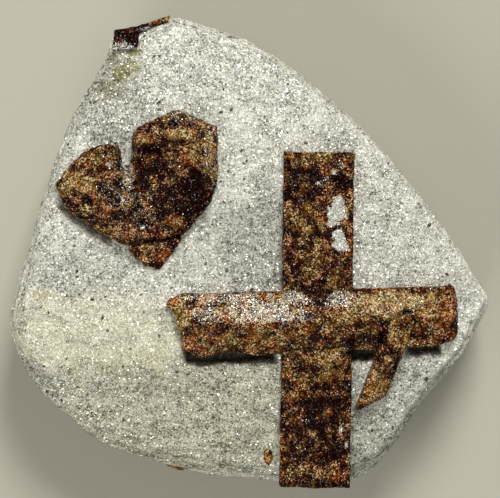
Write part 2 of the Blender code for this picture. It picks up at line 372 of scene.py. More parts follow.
# %% Outline and front
OUTLINE = (  # mm, counter-clockwise from the left tip
    (-34, -11.3), (-31.5, -17.3), (-26.2, -23.6), (-18.7, -28.5), (-6.5, -31.7), (4, -32.9), (14.5, -32.6),
    (20.7, -27.4), (24.7, -21.4), (29.7, -15.4), (32, -11.2), (33.9, -7.5), (32.3, -4.5), (29.5, -0.2),
    (24, 7.5), (16.6, 16.1), (8.8, 23.3), (0.2, 29.3), (-7.8, 32.2), (-13, 33.2), (-19, 31), (-20.6, 27),
    (-24.4, 20.6), (-28, 11.5), (-31, 1.9), (-33.3, -6),
)
STEPS_PER_SIDE = 8
BACK_LEVELS = ((0.0, 3.0), (0.5, 1.9), (1.6, 0.9), (4.2, 0.15), (8.0, 0.0), (12.0, 0.1))  # height, inset
RIM_LEVELS = ((3.0, 0.3), (1.5, 0.75), (0.6, 1.25), (0.12, 2.0))  # depth below the front, inset
RIM_BROADEST, RIM_VARIATION = 215.0, 0.62  # direction in degrees from +X
FRONT_RINGS = (0.84, 0.72, 0.60, 0.48, 0.34, 0.18)
SWELLS = (  # centre x and y, half-widths along x and y, height, all mm
    (-20.0, -14.5, 13.0, 7.0, 0.8),
    (-22.0, -4.0, 8.0, 5.0, -0.4),
    (2.0, -1.0, 9.0, 6.5, -1.4),
    (21.0, -2.0, 8.0, 8.0, -0.7),
    (-18.0, 26.0, 4.0, 4.5, -1.0),
    (-16.0, 33.0, 8.0, 8.0, -1.4),
    (34.0, -7.0, 7.0, 7.0, -1.5),
)
LOWER_CREST, LOWER_SLOPE, CREST_WIDTH = -15.5, 0.14, 1.3  # y from which the front falls, how much, how softly
UPPER_CREST, UPPER_FALL = 8.0, 0.0022


def smooth_outline(corners, steps):
    """A Catmull-Rom curve through the corners of a closed outline."""
    points = np.array(corners)
    before, after, beyond = (np.roll(points, k, axis=0) for k in (1, -1, -2))
    curve = []
    for i in range(len(points)):
        for j in range(steps):
            t = j / steps
            curve.append(0.5 * (
                2 * points[i]
                + (after[i] - before[i]) * t
                + (2 * before[i] - 5 * points[i] + 4 * after[i] - beyond[i]) * t * t
                + (3 * points[i] - before[i] - 3 * after[i] + beyond[i]) * t ** 3
            ))
    return np.array(curve)


def front_height(x, y):
    """Height of the front, for numbers or arrays, all in mm."""
    swell = sum(
        height * np.exp(-((x - cx) / rx) ** 2 - ((y - cy) / ry) ** 2)
        for cx, cy, rx, ry, height in SWELLS
    )
    lower_fall = LOWER_SLOPE * CREST_WIDTH * np.log1p(np.exp((LOWER_CREST - y) / CREST_WIDTH))
    upper_fall = UPPER_FALL * np.maximum(0.0, y - UPPER_CREST) ** 2
    return FRONT_HEIGHT / MM + swell - lower_fall - upper_fall


outline = smooth_outline(OUTLINE, STEPS_PER_SIDE)
print("outline points:", len(outline), "front height at the middle:", round(float(front_height(0, 0)), 2))

# %% Rings of the slab
BROKEN_EDGE = ((-20.4, 29.6), (-11.5, 32.5))  # the line behind the corner crystal, mm
EDGE_BEGINS, EDGE_ENDS = (-1.5, 0.5), 14.0  # along that line, where the trimming starts and has faded, mm


def smooth(value, low, high):
    """Runs smoothly from 0 to 1 as the value passes from low to high."""
    t = np.clip((value - low) / (high - low), 0, 1)
    return t * t * (3 - 2 * t)


def trim(ring):
    """Moves what stands out beyond the broken edge behind the corner crystal back onto that edge."""
    (x0, y0), (x1, y1) = BROKEN_EDGE
    length = math.hypot(x1 - x0, y1 - y0)
    along = np.array((x1 - x0, y1 - y0)) / length
    outward = np.array((-along[1], along[0]))
    reach = (ring[:, :2] - (x0, y0)) @ along
    beyond = np.maximum(0, (ring[:, :2] - (x0, y0)) @ outward)
    near = smooth(reach, *EDGE_BEGINS) * (1 - smooth(reach, length, EDGE_ENDS))
    ring[:, :2] -= outward * (beyond * near)[:, None]
    return ring


def slab_rings():
    """The rings of the slab, in mm, from the flat back over the rim to the middle of the front."""
    radius = np.linalg.norm(outline, axis=1)
    from_broadest = np.arctan2(outline[:, 1], outline[:, 0]) - math.radians(RIM_BROADEST)
    rim = 1 + RIM_VARIATION * np.cos(from_broadest)
    rings = []
    for height, inset in BACK_LEVELS:
        flat = outline * (1 - inset / radius)[:, None]
        rings.append(np.column_stack([flat, np.full(len(flat), height)]))
    for depth, inset in RIM_LEVELS:
        flat = outline * (1 - inset * rim / radius)[:, None]
        rings.append(np.column_stack([flat, front_height(*flat.T) - depth]))
    for share in FRONT_RINGS:
        flat = outline * share
        rings.append(np.column_stack([flat, front_height(*flat.T)]))
    return [trim(ring) for ring in rings]


rings = slab_rings()
print("rings:", len(rings))

# %% Loft the slab
VOXEL = 0.36 * MM


def new_object(name, bm, *materials):
    """An object from a bmesh, linked to the scene."""
    mesh = bpy.data.meshes.new(name)
    bm.to_mesh(mesh)
    bm.free()
    for material in materials:
        mesh.materials.append(material)
    obj = bpy.data.objects.new(name, mesh)
    link(obj)
    return obj


def loft_slab():
    """Faces between the rings, one face for the back, and a fan round the middle of the front."""
    bm = bmesh.new()
    loops = [[bm.verts.new(Vector(p) * MM) for p in ring] for ring in rings]
    count = len(outline)
    for low, high in zip(loops, loops[1:]):
        for i in range(count):
            j = (i + 1) % count
            bm.faces.new((low[i], low[j], high[j], high[i]))
    bm.faces.new(loops[0][::-1])
    apex = bm.verts.new((0, 0, float(front_height(0, 0)) * MM))
    for i in range(count):
        bm.faces.new((loops[-1][i], loops[-1][(i + 1) % count], apex))
    return new_object("schist_slab", bm, schist)


def apply_modifiers(obj):
    """Replaces the object's mesh with its evaluated one and drops its modifiers."""
    graph = bpy.context.evaluated_depsgraph_get()
    mesh = bpy.data.meshes.new_from_object(obj.evaluated_get(graph))
    obj.modifiers.clear()
    obj.data = mesh
    return obj


def remesh(obj, voxel):
    """Rebuilds the object's mesh from even squares."""
    mod = obj.modifiers.new("even squares", "REMESH")
    mod.mode = "VOXEL"
    mod.voxel_size = voxel
    return apply_modifiers(obj)


slab = remesh(loft_slab(), VOXEL)
print("slab faces:", len(slab.data.polygons))

# %% [markdown]
# ## Crystals
#
# Each crystal starts from its solid, which already has the right faces: staurolite's flat six-sided
# prism with a ridge along the front. Real faces are never that clean here. They are pitted where mica
# grains were pressed in, and their edges are worn, so a copy is remeshed finely and roughened.

# %% Crystal blanks
CRYSTALS = {  # solid: (voxel, broad relief, wrinkles, pits), all mm
    "cross_twin": (0.21, 0.11, 0.05, 0.075),
    "heart_twin": (0.19, 0.20, 0.17, 0.09),
    "corner_crystal": (0.16, 0.14, 0.05, 0.06),
    "foot_crystal": (0.12, 0.08, 0.03, 0.04),
    "rim_crystal": (0.12, 0.08, 0.03, 0.04),
}
SAME_POINT = 0.001 * MM


def blank_of(node):
    """A merged copy of a solid, remeshed to even squares."""
    voxel = CRYSTALS[node][0] * MM
    bm = bmesh.new()
    bm.from_mesh(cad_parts[node].data)
    bmesh.ops.remove_doubles(bm, verts=bm.verts, dist=SAME_POINT)
    piece = remesh(new_object(node.split("_")[0] + "_staurolite", bm), voxel)
    print(piece.name, "faces:", len(piece.data.polygons))
    return piece


crystals = {node: blank_of(node) for node in CRYSTALS}

# %% Points, normals and weights
SEED_STEP = (17.3, 5.1, 9.7)  # how far each seed moves through the noise
FALL_OFF, OCTAVE = 0.6, 2.0  # how much weaker and finer each layer of noise is


def read(rows, key, width):
    """One row of values for each vertex, as an array."""
    values = np.empty(len(rows) * width)
    rows.foreach_get(key, values)
    return values.reshape(-1, width)


def points_of(obj):
    return read(obj.data.vertices, "co", 3)


def normals_of(obj):
    return read(obj.data.vertex_normals, "vector", 3)


def set_points(obj, points):
    obj.data.vertices.foreach_set("co", points.ravel())
    obj.data.update()


def store(obj, name, weights):
    """Stores a weight for each vertex as an attribute of the mesh."""
    layer = obj.data.attributes.new(name, "FLOAT", "POINT")
    layer.data.foreach_set("value", np.asarray(weights, np.float32))


def weight_of(obj, name):
    """Reads a stored weight back."""
    return read(obj.data.attributes[name].data, "value", 1)[:, 0]


def noise_at(points, size, seed, detail=3):
    """Noise at each point, about -1 to 1; size is that of its features in mm."""
    shift = Vector([seed * step for step in SEED_STEP])
    return np.array([
        noise.fractal(Vector(p) / (size * MM) + shift, FALL_OFF, OCTAVE, detail) for p in points
    ])


print("tops in mm:", [round(float(points_of(piece)[:, 2].max() / MM), 1) for piece in crystals.values()])

# %% [markdown]
# ## Knocks and cracks
#
# The heart is the most battered crystal: a step and a deep hollow cross its right lobe, a pit marks the
# left one, and a crack splits off the wedge at its tip. The bar has a pit near the blade, and cracks
# follow the lines where the members of the cross meet. Fine wrinkles run over every crystal, deepest on
# the heart. The recesses are kept for the painting that follows, which darkens them and the cracks as
# painted shade.

# %% Sculpt the crystals
KNOCKS = {  # solid: (x, y, half-widths along x and y, rise), all mm
    "heart_twin": (
        (-14.5, 15.2, 1.3, 0.8, 0.5), (-14, 13.9, 2.5, 0.55, -0.8), (-9.3, 16.1, 2.2, 0.5, 0.35),
        (-9.6, 15, 2.4, 0.45, -0.18), (-22.9, 6.9, 0.9, 0.8, -0.45), (-20.3, 5.2, 1.4, 0.8, 0.25),
        (-11.6, 8.6, 1.8, 1.3, 0.3), (-17.6, 12.8, 0.7, 1, -0.35), (-13.2, 11.3, 1.4, 0.9, -0.3),
    ),
    "cross_twin": (
        (21.5, -8.6, 0.8, 0.3, -0.45), (24.2, -12.4, 1.3, 0.8, -0.25), (15.4, -12.4, 1.8, 0.8, -0.25),
        (-9.9, -9.3, 1, 1, -0.3), (-7.2, -14.6, 1.5, 0.9, 0.3), (-3.2, -14.4, 1.8, 0.9, -0.45),
        (1.2, -14.2, 1.6, 0.9, 0.25), (-10.6, -11.5, 0.8, 1.4, -0.3), (12.6, 9.4, 1.6, 0.9, -0.2),
        (16, -7.6, 2.6, 1, 0.12), (27.8, -5.4, 1, 0.8, 0.45),
    ),
}
CRACKS = {  # solid: (half-width, depth, corners), all mm
    "heart_twin": (
        (0.20, 0.34, ((-16.6, 0.2), (-15.6, 0.7), (-14.3, 1.2), (-12.8, 1.3), (-11.3, 1.5), (-9.5, 1.9))),
        (0.22, 0.20, ((-18.0, 13.0), (-17.4, 9.0), (-16.9, 6.0), (-15.6, 2.8))),
    ),
    "cross_twin": (
        (0.24, 0.35, ((17.5, -14.9), (19.2, -14.6), (20.8, -14.5))),
        (0.24, 0.35, ((4.3, -14.3), (7.0, -13.9), (10.0, -13.9), (13.5, -13.5))),
        (0.27, 0.34, ((22.0, -8.6), (20.6, -9.0), (19.3, -9.7), (18.8, -11.4), (18.0, -12.9), (17.3, -14.4))),
        (0.20, 0.20, ((7.3, -6.1), (9.6, -7.9), (12.8, -6.0))),
    ),
}
WRINKLE_WIDTH = 0.22  # how near to zero the noise is in a wrinkle
WANDER = 0.25  # how far the cracks stray, mm
FULL_CRACK = 0.35  # depth of a crack whose painted shade is at full strength, mm
RECESS = (0.04, 0.26)  # depths between which a place turns into a recess, mm


def crack_reach(x, y, corners):
    """Distance in mm from each point to a line through the corners."""
    reach = np.full(len(x), np.inf)
    for (x0, y0), (x1, y1) in zip(corners, corners[1:]):
        dx, dy = x1 - x0, y1 - y0
        share = np.clip(((x - x0) * dx + (y - y0) * dy) / (dx * dx + dy * dy), 0, 1)
        reach = np.minimum(reach, np.hypot(x - x0 - share * dx, y - y0 - share * dy))
    return reach


def sculpt(node, piece, seed):
    """Presses relief, knocks and cracks into a crystal and gives the weight of its recesses."""
    _, broad, wrinkles, pits = CRYSTALS[node]
    points, normals = points_of(piece), normals_of(piece)
    x, y, _ = (points / MM).T
    lift = broad * noise_at(points, size=3.2, seed=seed)
    lift += pits * noise_at(points, size=0.7, seed=seed + 20)
    folds = np.abs(noise_at(points, size=2.3, seed=seed + 60, detail=2))
    lift -= wrinkles * (1 - np.clip(folds / WRINKLE_WIDTH, 0, 1))
    for cx, cy, rx, ry, rise in KNOCKS.get(node, ()):
        lift += rise * np.exp(-((x - cx) / rx) ** 2 - ((y - cy) / ry) ** 2)
    wander = WANDER * noise_at(points, size=1.2, seed=seed + 40, detail=2)
    crack = np.zeros(len(points))
    for width, depth, corners in CRACKS.get(node, ()):
        share = 1 - smooth(crack_reach(x + wander, y + wander, corners), 0, width)
        lift -= depth * share
        crack = np.maximum(crack, share * depth / FULL_CRACK)
    set_points(piece, points + normals * (lift * MM)[:, None])
    store(piece, "crack", np.clip(crack, 0, 1))
    print(piece.name, "relief in mm:", round(float(lift.min()), 2), "to", round(float(lift.max()), 2))
    return smooth(-lift, *RECESS) * (1 - crack)


recesses = {
    node: sculpt(node, piece, seed) for seed, (node, piece) in enumerate(crystals.items(), start=1)
}

# %% [markdown]
# ## Stains, coatings and painted light
#
# No two parts of these crystals have the same colour. The tints below are the ones that a collector would
# name: honey, rust at the ends and the wedge, near-black, bright mica on the bar's upper face down to its
# ridge, and dust from the schist in the notch of the heart. Some carry painted light as well: the
# near-black is partly painted shade in hollows and on faces turned from the light, the bar's upper face
# takes a painted sheen with its mica, and a little honey and rust lift the bar's lower face. Each is a
# list of ragged patches, stored on the vertices as a weight that the material reads. The recesses are
# darkened too, as painted shade, and two patches of schist still stick to the upright.

# %% Where each tint lies
TINT_PATCHES = {  # tint: (x, y, half-widths along x and y, strength), in mm
    # mostly honey patches of the crystals' own colour; the patch at (-3, -12.4) on the bar's lower face is
    # painted light that lifts a face the lamps leave dark
    "gold": (
        (-23.9, 9.3, 2.8, 1.3, 1), (-25.7, 8.3, 1.3, 1, 0.8), (-22, 12.2, 2.6, 1.4, 0.35),
        (-10.2, 15.8, 2.5, 0.9, 0.9), (-14, 15.5, 1.4, 0.8, 0.6), (-5.8, 11.6, 1.2, 3.4, 0.85),
        (-7.6, 13.2, 1.3, 1.3, 0.5), (-9.7, -9.7, 1.5, 2, 1.2), (19.7, -7.9, 6.3, 2.2, 0.95),
        (14.1, -9.1, 2.1, 1.1, 0.4), (23.2, -8.7, 1.1, 0.7, 1), (17.8, -17.5, 1.9, 3.2, 0.8),
        (20.6, -12.2, 1.6, 2, 0.75), (26.2, -8.6, 1.8, 3.4, 0.6), (17.3, -20.7, 1.5, 0.9, 0.7),
        (9.7, 12.9, 5, 0.9, 0.55), (7.6, 3.4, 2.8, 3, 0.25), (10.4, -1.6, 3.9, 2.4, 0.45),
        (9.3, -16.6, 4.4, 2.6, 0.7), (8.3, -30.7, 3.5, 1.4, 0.3), (-12.3, 32.5, 1.6, 0.7, 0.9),
        (2.5, -29, 0.8, 1, 0.8), (-3, -12.4, 7, 2, 0.45), (-10.9, -7.2, 1.3, 1.1, 0.7),
        (-10.5, -31, 2, 2, 0.9), (-9, -13, 1.6, 1.2, 0.8), (-13, -0.6, 2.7, 1.8, 0.6),
    ),
    # mostly rust; the patch at (-3.6, -11.9) on the bar's lower face is painted light that lifts it
    "rust": (
        (-15.4, 16.2, 0.8, 0.7, 1), (-9.1, 12.2, 1.2, 0.8, 1), (-15.8, 2.6, 1.7, 0.8, 0.9),
        (-11.9, 1.6, 3, 0.8, 0.8), (-12, -0.7, 1.9, 1.6, 0.9), (-20.7, 5.4, 1.2, 0.9, 0.8),
        (-23.2, 11.8, 1.8, 1.1, 0.5), (-11.9, 9, 1.6, 1.1, 0.5), (-10.9, -7.2, 1.3, 1.1, 1.2),
        (-8.4, -13.3, 2.3, 1.5, 1), (-3.6, -11.9, 5.6, 1.6, 0.5), (27.2, -8.7, 1.5, 3.9, 0.9),
        (-4.9, -6.8, 4.9, 0.7, 0.6), (10, -7.5, 1.2, 1, 0.8), (15.3, -21.4, 0.9, 1, 1.1),
        (18.7, -13.3, 1.7, 1.1, 0.6), (12.2, 3, 2, 5, 0.9), (13.2, 11.8, 1.1, 1.1, 0.7),
        (5.1, -21.7, 0.7, 1.2, 1.1), (6.9, -25.1, 1.6, 2.2, 0.5), (12.5, -30.7, 1.5, 2, 0.5),
        (5.5, -0.8, 0.8, 3, 0.7), (-10.5, -31, 2, 2, 0.5), (2.5, -29, 1, 1.2, 0.15),
    ),
    # mostly the crystals' own near-black; the patches in the heart's hollow and pit, on its left lobe's lower
    # facet and beside the blade are painted shade
    "dark": (
        (-14, 13.9, 2.5, 0.8, 1), (-13.3, 11.8, 2.3, 1.4, 0.8), (-7.6, 7.2, 2.7, 4.4, 1),
        (-12.4, 7.6, 3.6, 4.4, 0.55), (-9.5, 18, 4.5, 0.9, 0.4), (-15.6, 8.6, 1.2, 3.4, 0.5),
        (-22.9, 6.9, 1.1, 0.9, 0.9), (-23, 3.9, 3, 0.8, 0.6), (11.1, -11.9, 3, 1.4, 0.45),
        (15.4, -12.6, 3.2, 0.9, 0.3), (20.3, -17.3, 0.5, 3.2, 0.9), (21.5, -8.6, 0.8, 0.35, 1),
        (18.2, -11.9, 0.7, 1.7, 0.6), (7.3, 9, 2.9, 2.9, 0.8), (12.5, 9.4, 1.7, 1, 1.1),
        (9, -22.4, 3.5, 3.1, 0.85), (11.8, -27.2, 2.1, 2.8, 0.5), (6.2, -29.3, 1.7, 2.8, 0.4),
        (-17.6, 29.8, 2.4, 2.4, 1), (10, -6, 2, 1.8, 0.7), (9, 3, 6, 14, 0.25), (9, -25, 6, 11, 0.58),
        (-12.5, -0.5, 3, 2.2, 0.4), (18.3, -17, 2.6, 4.2, 0.3), (-3.5, -12.5, 7, 2.4, 0.12),
        (-14.9, 31.2, 1.3, 0.9, 0.45),
    ),
    # sheen and mica: a painted sheen on the bar's upper face, which mirrors the key, with mica grains and
    # plates on it
    "flash": (
        (1.9, -8.9, 5.8, 2, 1), (6.1, -6.9, 2.8, 1.1, 0.85), (12.6, -7, 2.2, 1.3, 0.8),
        (-5.9, -9.1, 2.5, 1.2, 0.7), (-2.8, -6.9, 6.6, 1, 0.7), (18.7, -7.5, 6.3, 2, 0.2),
    ),
    "dust": (
        (-17.4, 12.6, 0.7, 1.3, 1), (-17.2, 10.4, 0.9, 2.6, 0.34), (-16.9, 7.2, 1.3, 1.9, 0.14),
        (-19.7, 11.8, 0.22, 0.34, 0.9), (-17.8, 6.8, 0.3, 0.4, 0.9), (-15.1, 3, 0.3, 0.35, 0.9),
        (-18.6, 9, 2.2, 4, 0.09), (-15.8, 5, 2.2, 3, 0.08), (-9.3, 19, 3.8, 1.4, 0.15),
        (-5.6, 13.6, 1.3, 5, 0.11), (9.4, 9, 0.5, 0.6, 0.25), (10.5, 9.9, 0.6, 0.4, 0.3),
        (11.6, 10.8, 0.4, 0.4, 1), (12.6, 11.7, 0.6, 0.4, 0.3), (-17.6, 28.5, 1.9, 0.7, 0.6),
        (12.6, -25.3, 0.24, 0.75, 1), (13.4, -27.4, 0.25, 0.4, 1), (-14.3, 30.9, 1.3, 0.5, 0.8),
    ),
}
REMNANTS = (  # outlines of the two patches of schist that still stick to the upright, mm
    ((12.0, 7.6), (12.6, 7.8), (12.9, 7.0), (13.0, 6.0), (13.5, 4.3), (12.7, 4.1), (11.3, 3.2),
     (10.7, 3.2), (10.9, 4.4), (10.7, 5.3), (11.4, 6.6)),
    ((11.9, 2.9), (12.7, 2.9), (12.9, 2.3), (13.0, 1.6), (13.9, -0.1), (12.9, -0.2), (12.0, -0.1),
     (11.4, 0.4), (11.6, 1.3), (11.3, 1.8), (11.5, 2.4)),
)
BAR_TOP, BAR_PITCH = 20.55, 0.4716  # height of the bar's ridge in mm, and how steeply its faces fall
RIDGE_Y, RIDGE_SLOPE = -10.2, 0.034  # where that ridge runs
UPRIGHT_TOP, UPRIGHT_PITCH = 19.48, 0.33
UPRIGHT_X, UPRIGHT_Y, UPRIGHT_RISE = 9.4, -2.3, 0.017  # its middle in mm, and how it climbs along y
print("patches:", sum(len(spots) for spots in TINT_PATCHES.values()))

# %% Paint the crystals
RAGGEDNESS = 0.5
PATCH_FADE = (0.5, 1.3)  # shares of the half-widths between which a patch fades
RECESS_SHADE = 0.42
REMNANT_RAGGEDNESS = 0.34  # mm
REMNANT_FLOOR = 17.5  # the remnants lie on the upright's roof, above this height; mm


def inside(corners, x, y):
    """1 for the points inside a closed outline, by counting the sides crossed on the way out."""
    crossings = np.zeros(len(x), int)
    for (x0, y0), (x1, y1) in zip(corners, corners[1:] + corners[:1]):
        spans = (y0 > y) != (y1 > y)
        with np.errstate(divide="ignore", invalid="ignore"):
            crossings += spans & (x < x0 + (y - y0) * (x1 - x0) / (y1 - y0))
    return crossings % 2


def on_upper_face(x, y):
    """1 on the bar's upper face, down to its ridge; the upright's roof cuts a V into the upper edge."""
    above_ridge = y - RIDGE_Y - RIDGE_SLOPE * x
    bar = BAR_TOP - BAR_PITCH * np.abs(above_ridge)
    upright = UPRIGHT_TOP + UPRIGHT_RISE * (y - UPRIGHT_Y) - UPRIGHT_PITCH * np.abs(x - UPRIGHT_X)
    return smooth(bar - upright, -0.1, 0.1) * smooth(above_ridge, -0.25, 0.25)


def painted(spots, x, y, edge):
    """The highest of the patches' weights at each point."""
    weight = np.zeros(len(x))
    for cx, cy, rx, ry, strength in spots:
        reach = np.hypot((x - cx) / rx, (y - cy) / ry) + edge
        weight = np.maximum(weight, strength * (1 - smooth(reach, *PATCH_FADE)))
    return weight


for seed, (node, piece) in enumerate(crystals.items(), start=60):
    points = points_of(piece)
    x, y, z = (points / MM).T
    edge = RAGGEDNESS * noise_at(points, size=1.1, seed=seed)
    weights = {tint: painted(spots, x, y, edge) for tint, spots in TINT_PATCHES.items()}
    # painted shade: the recesses add to the dark weight
    weights["dark"] += RECESS_SHADE * recesses[node]
    # the painted sheen and its mica lie only on the bar's upper face
    weights["flash"] *= on_upper_face(x, y)
    if node == "cross_twin":
        drift = REMNANT_RAGGEDNESS * noise_at(points, size=0.6, seed=seed + 7)
        for corners in REMNANTS:
            remnant = inside(corners, x + drift, y - drift) * (z > REMNANT_FLOOR)
            weights["dust"] = np.maximum(weights["dust"], remnant)
    for tint, weight in weights.items():
        store(piece, tint, weight)
    print(piece.name, "rusty share:", round(float((weights["rust"] > 0.5).mean()), 2))

# %% [markdown]
# ## Staurolite
#
# Staurolite is brown to black, but a weathered face is a mosaic. Its hues change over a millimetre or so:
# violet black, dark red, rust, honey, straw. So a slow noise, shifted by the painted weights, picks the
# hue, and each grain strays a little from it. Every grain also takes its own brightness, from nearly none
# to more than twice as much, except in calm patches, where the grains are nearly alike. Only the
# brightest grains bleach, and a few take a pale colour as painted glints. Where dust was painted, single
# grains turn to mica. Some weights paint light: a sheen on the bar's upper face, a lift on its lower
# face, and shade in the dark patches and the cracks.

# %% Hues of the crystals
# Each hue runs from its darkest grains to its brightest, in screen levels from 0 to 255.
BLACK = ((6, 0, 0), (32, 10, 8), (64, 38, 32), (106, 78, 64), (200, 182, 166))
RED = ((22, 0, 0), (64, 19, 0), (102, 46, 6), (138, 77, 28), (172, 116, 64), (212, 170, 124))
HONEY = ((14, 2, 0), (55, 31, 4), (96, 69, 24), (133, 105, 52), (168, 142, 88), (210, 192, 148))
SCREEN_GAMMA = 2.2


def lit(hue):
    """Evenly spaced stops of a hue, with each colour turned from screen levels into light."""
    return [
        (i / (len(hue) - 1), tuple(round((level / 255) ** SCREEN_GAMMA, 4) for level in levels))
        for i, levels in enumerate(hue)
    ]


print("brightest honey:", lit(HONEY)[-1])

# %% Staurolite material
GRAIN, FINE_GRAIN = 0.17, 0.12  # mm
# the pale colour of a painted glint
PAINTED_GLINT = (0.72, 0.67, 0.60)
CRACK_SHADE = 0.8


def grain_level(finish, shade, fine, gold):
    """How bright each grain is: most are dark, and in the calm patches all are nearly alike."""
    grain = (shade * 0.76 + fine * 0.24) ** 2.5
    elsewhere = finish.vector("ADD", finish.place, (5, 19, 3))
    calm = finish.step(finish.noise(0.85, 3.0, place=elsewhere), 0.42, 0.62)
    share = finish.step(calm * 0.65 + gold * 0.35, 0.0, 0.72, 0.0, 0.55)
    return grain + (0.25 + gold * 0.06 - grain) * share


def make_staurolite():
    finish = Finish("staurolite", Specular_IOR_Level=0.04)
    grains = finish.cells(GRAIN)
    shade, gloss, hue = finish.split(grains)
    fine, coat, heat = finish.split(finish.cells(FINE_GRAIN))
    gold, rust, dark, flash, dust, crack = (finish.stored(tint) for tint in (*TINT_PATCHES, "crack"))

    patch = finish.noise(0.62, 3.0, roughness=0.55)
    # honey raises the warmth and with it the brightness, partly as painted light on the bar's lower face; the
    # dark weight lowers both, partly as painted shade
    warmth = (patch - 0.5) * 2.0 + 0.45 + gold * 0.30 - dark * 0.40 + (heat - 0.5) * 0.24
    drift = finish.noise(0.5, 3.0, place=finish.vector("ADD", finish.place, (31, 7, 2)))
    redness = drift + rust * 0.22 - gold * 0.14 + (hue - 0.5) * 0.26
    # painted sheen: the sheen weight raises the brightness of the bar's upper face
    gain = finish.step(warmth, 0.0, 1.0, 0.6, 2.4) + rust * 0.1 + flash * 1.1
    level = grain_level(finish, shade, fine, gold) * gain

    black, red, honey = (finish.ramp(level, *lit(colours)) for colours in (BLACK, RED, HONEY))
    body = finish.mix(finish.step(redness, 0.36, 0.66), honey, red)
    # the black hue takes the dark patches: partly the crystal's own black, partly painted shade
    body = finish.mix(finish.step(warmth, 0.60, 0.05), body, black)
    # painted glints: a few grains take a pale colour that stands in for sparkle
    painted_glint = finish.step(coat, 0.965, 0.98) * finish.step(warmth + drift, 0.45, 1.15, 0.1, 0.7)
    body = finish.mix(painted_glint, body, PAINTED_GLINT)
    # painted shade: the cracks darken the colour
    body = finish.vector("SCALE", body, Scale=1 - crack * CRACK_SHADE)
    mica = finish.step(dust + flash * 0.38 - coat, 0.0, 0.06)
    silver = finish.mix(fine, (0.20, 0.20, 0.17), (0.95, 0.95, 0.88))
    pits = finish.noise(2.2, 4.0, roughness=0.6)
    return finish.wear(
        Base_Color=finish.mix(mica, body, silver),
        Metallic=mica * 0.35,
        Roughness=finish.step(gloss, 0.0, 1.0, 0.16, 0.42),
        Normal=finish.bump(pits * 0.7 + fine * 0.3, finish.tilt(grains, 0.7)),
    )


staurolite = make_staurolite()
for piece in crystals.values():
    piece.data.materials.clear()
    piece.data.materials.append(staurolite)

# %% [markdown]
# ## Relief of the slab
#
# Grain roughens the stone everywhere, low waves its upper part, and ledges its sides, where the layers
# crop out. Its back was broken, not worn, and is only ever pressed inwards, so that the slab still rests
# on it. A noise that is squeezed in height draws the ledges, and a broad warp keeps them from being level.

# %% Press the relief into the slab
LEDGE_THICKNESS, LEDGE_DEPTH = 1.15, 0.34  # mm
BED_CHANGE = 0.10  # how fast the beds change along x and y
BED_WARP = 0.9  # how far the beds bend up and down, mm
GRAIN_DEPTH, WAVE_DEPTH, SCAR_DEPTH = 0.055, 0.10, 0.5  # mm
WAVE_STRETCH = (0.45, 1.0, 1.0)
BACK_TOP, WAVES_ABOVE = 1.2, 8  # heights up to which the back and from which the waves reach, mm
FLATTENED = 0.15  # how much the height counts in the noise of the beds and scars

points, normals = points_of(slab), normals_of(slab)
x, y, z = (points / MM).T
side = 1 - np.abs(normals[:, 2])
flat_places = points.copy()
flat_places[:, 2] *= FLATTENED
warp = BED_WARP * noise_at(flat_places, size=9.0, seed=31, detail=2)
beds = np.array([
    noise.noise(Vector((px * BED_CHANGE, py * BED_CHANGE, (pz + bend) / LEDGE_THICKNESS)))
    for px, py, pz, bend in zip(x, y, z, warp)
])
ledges = LEDGE_DEPTH * (np.clip(beds * 2.2, -1, 1) - 0.5) * smooth(side, 0.03, 0.55)
grain = GRAIN_DEPTH * noise_at(points, size=0.9, seed=32)
waves = WAVE_DEPTH * noise_at(points * WAVE_STRETCH, size=2.6, seed=33, detail=2)
lift = ledges + grain + waves * (z > WAVES_ABOVE)
points += normals * (lift * MM)[:, None]
back = (z < BACK_TOP) & (normals[:, 2] < -0.5)
scars = np.clip(noise_at(flat_places, size=4.0, seed=34) + 0.1, 0, 1) * SCAR_DEPTH
points[back, 2] = np.maximum(points[back, 2], 0) + (scars[back] * MM)
points[:, 2] = np.maximum(points[:, 2], 0)
set_points(slab, points)
print("relief in mm:", round(float(lift.min()), 2), "to", round(float(lift.max()), 2))

# %% [markdown]
# ## Hollows beside the crystals
#
# Along the lower edge of the bar the soft stone has weathered away and left a hollow, and a shallow one
# follows the heart's lower left edge. Vertices of the slab under those edges are pushed down, with a
# ragged outer side. The hollows are painted nearly black as shadow, and that painted shadow is stored as
# a weight too.

# %% Weathered hollows
HOLLOWS = (  # start and end of the crystal's edge, width, depth, all mm, and how dark its painted shadow is
    ((-9.2, -14.7), (3.4, -14.3), 1.5, 1.5, 1.0),
    ((13.9, -13.9), (17.6, -13.8), 1.8, 1.6, 1.0),
    ((22.0, -13.65), (26.6, -13.5), 1.2, 1.3, 1.0),
    ((-26.9, 6.5), (-19.4, 1.3), 0.75, 0.6, 0.8),
)
END_FADE, RAGGED = 0.6, 0.45  # mm
UNDERCUT = (-2.2, -1.0)  # where, under the crystal, a hollow begins and is at full depth, mm
OUTER_FADE = (-0.7, 0.3)  # round its width

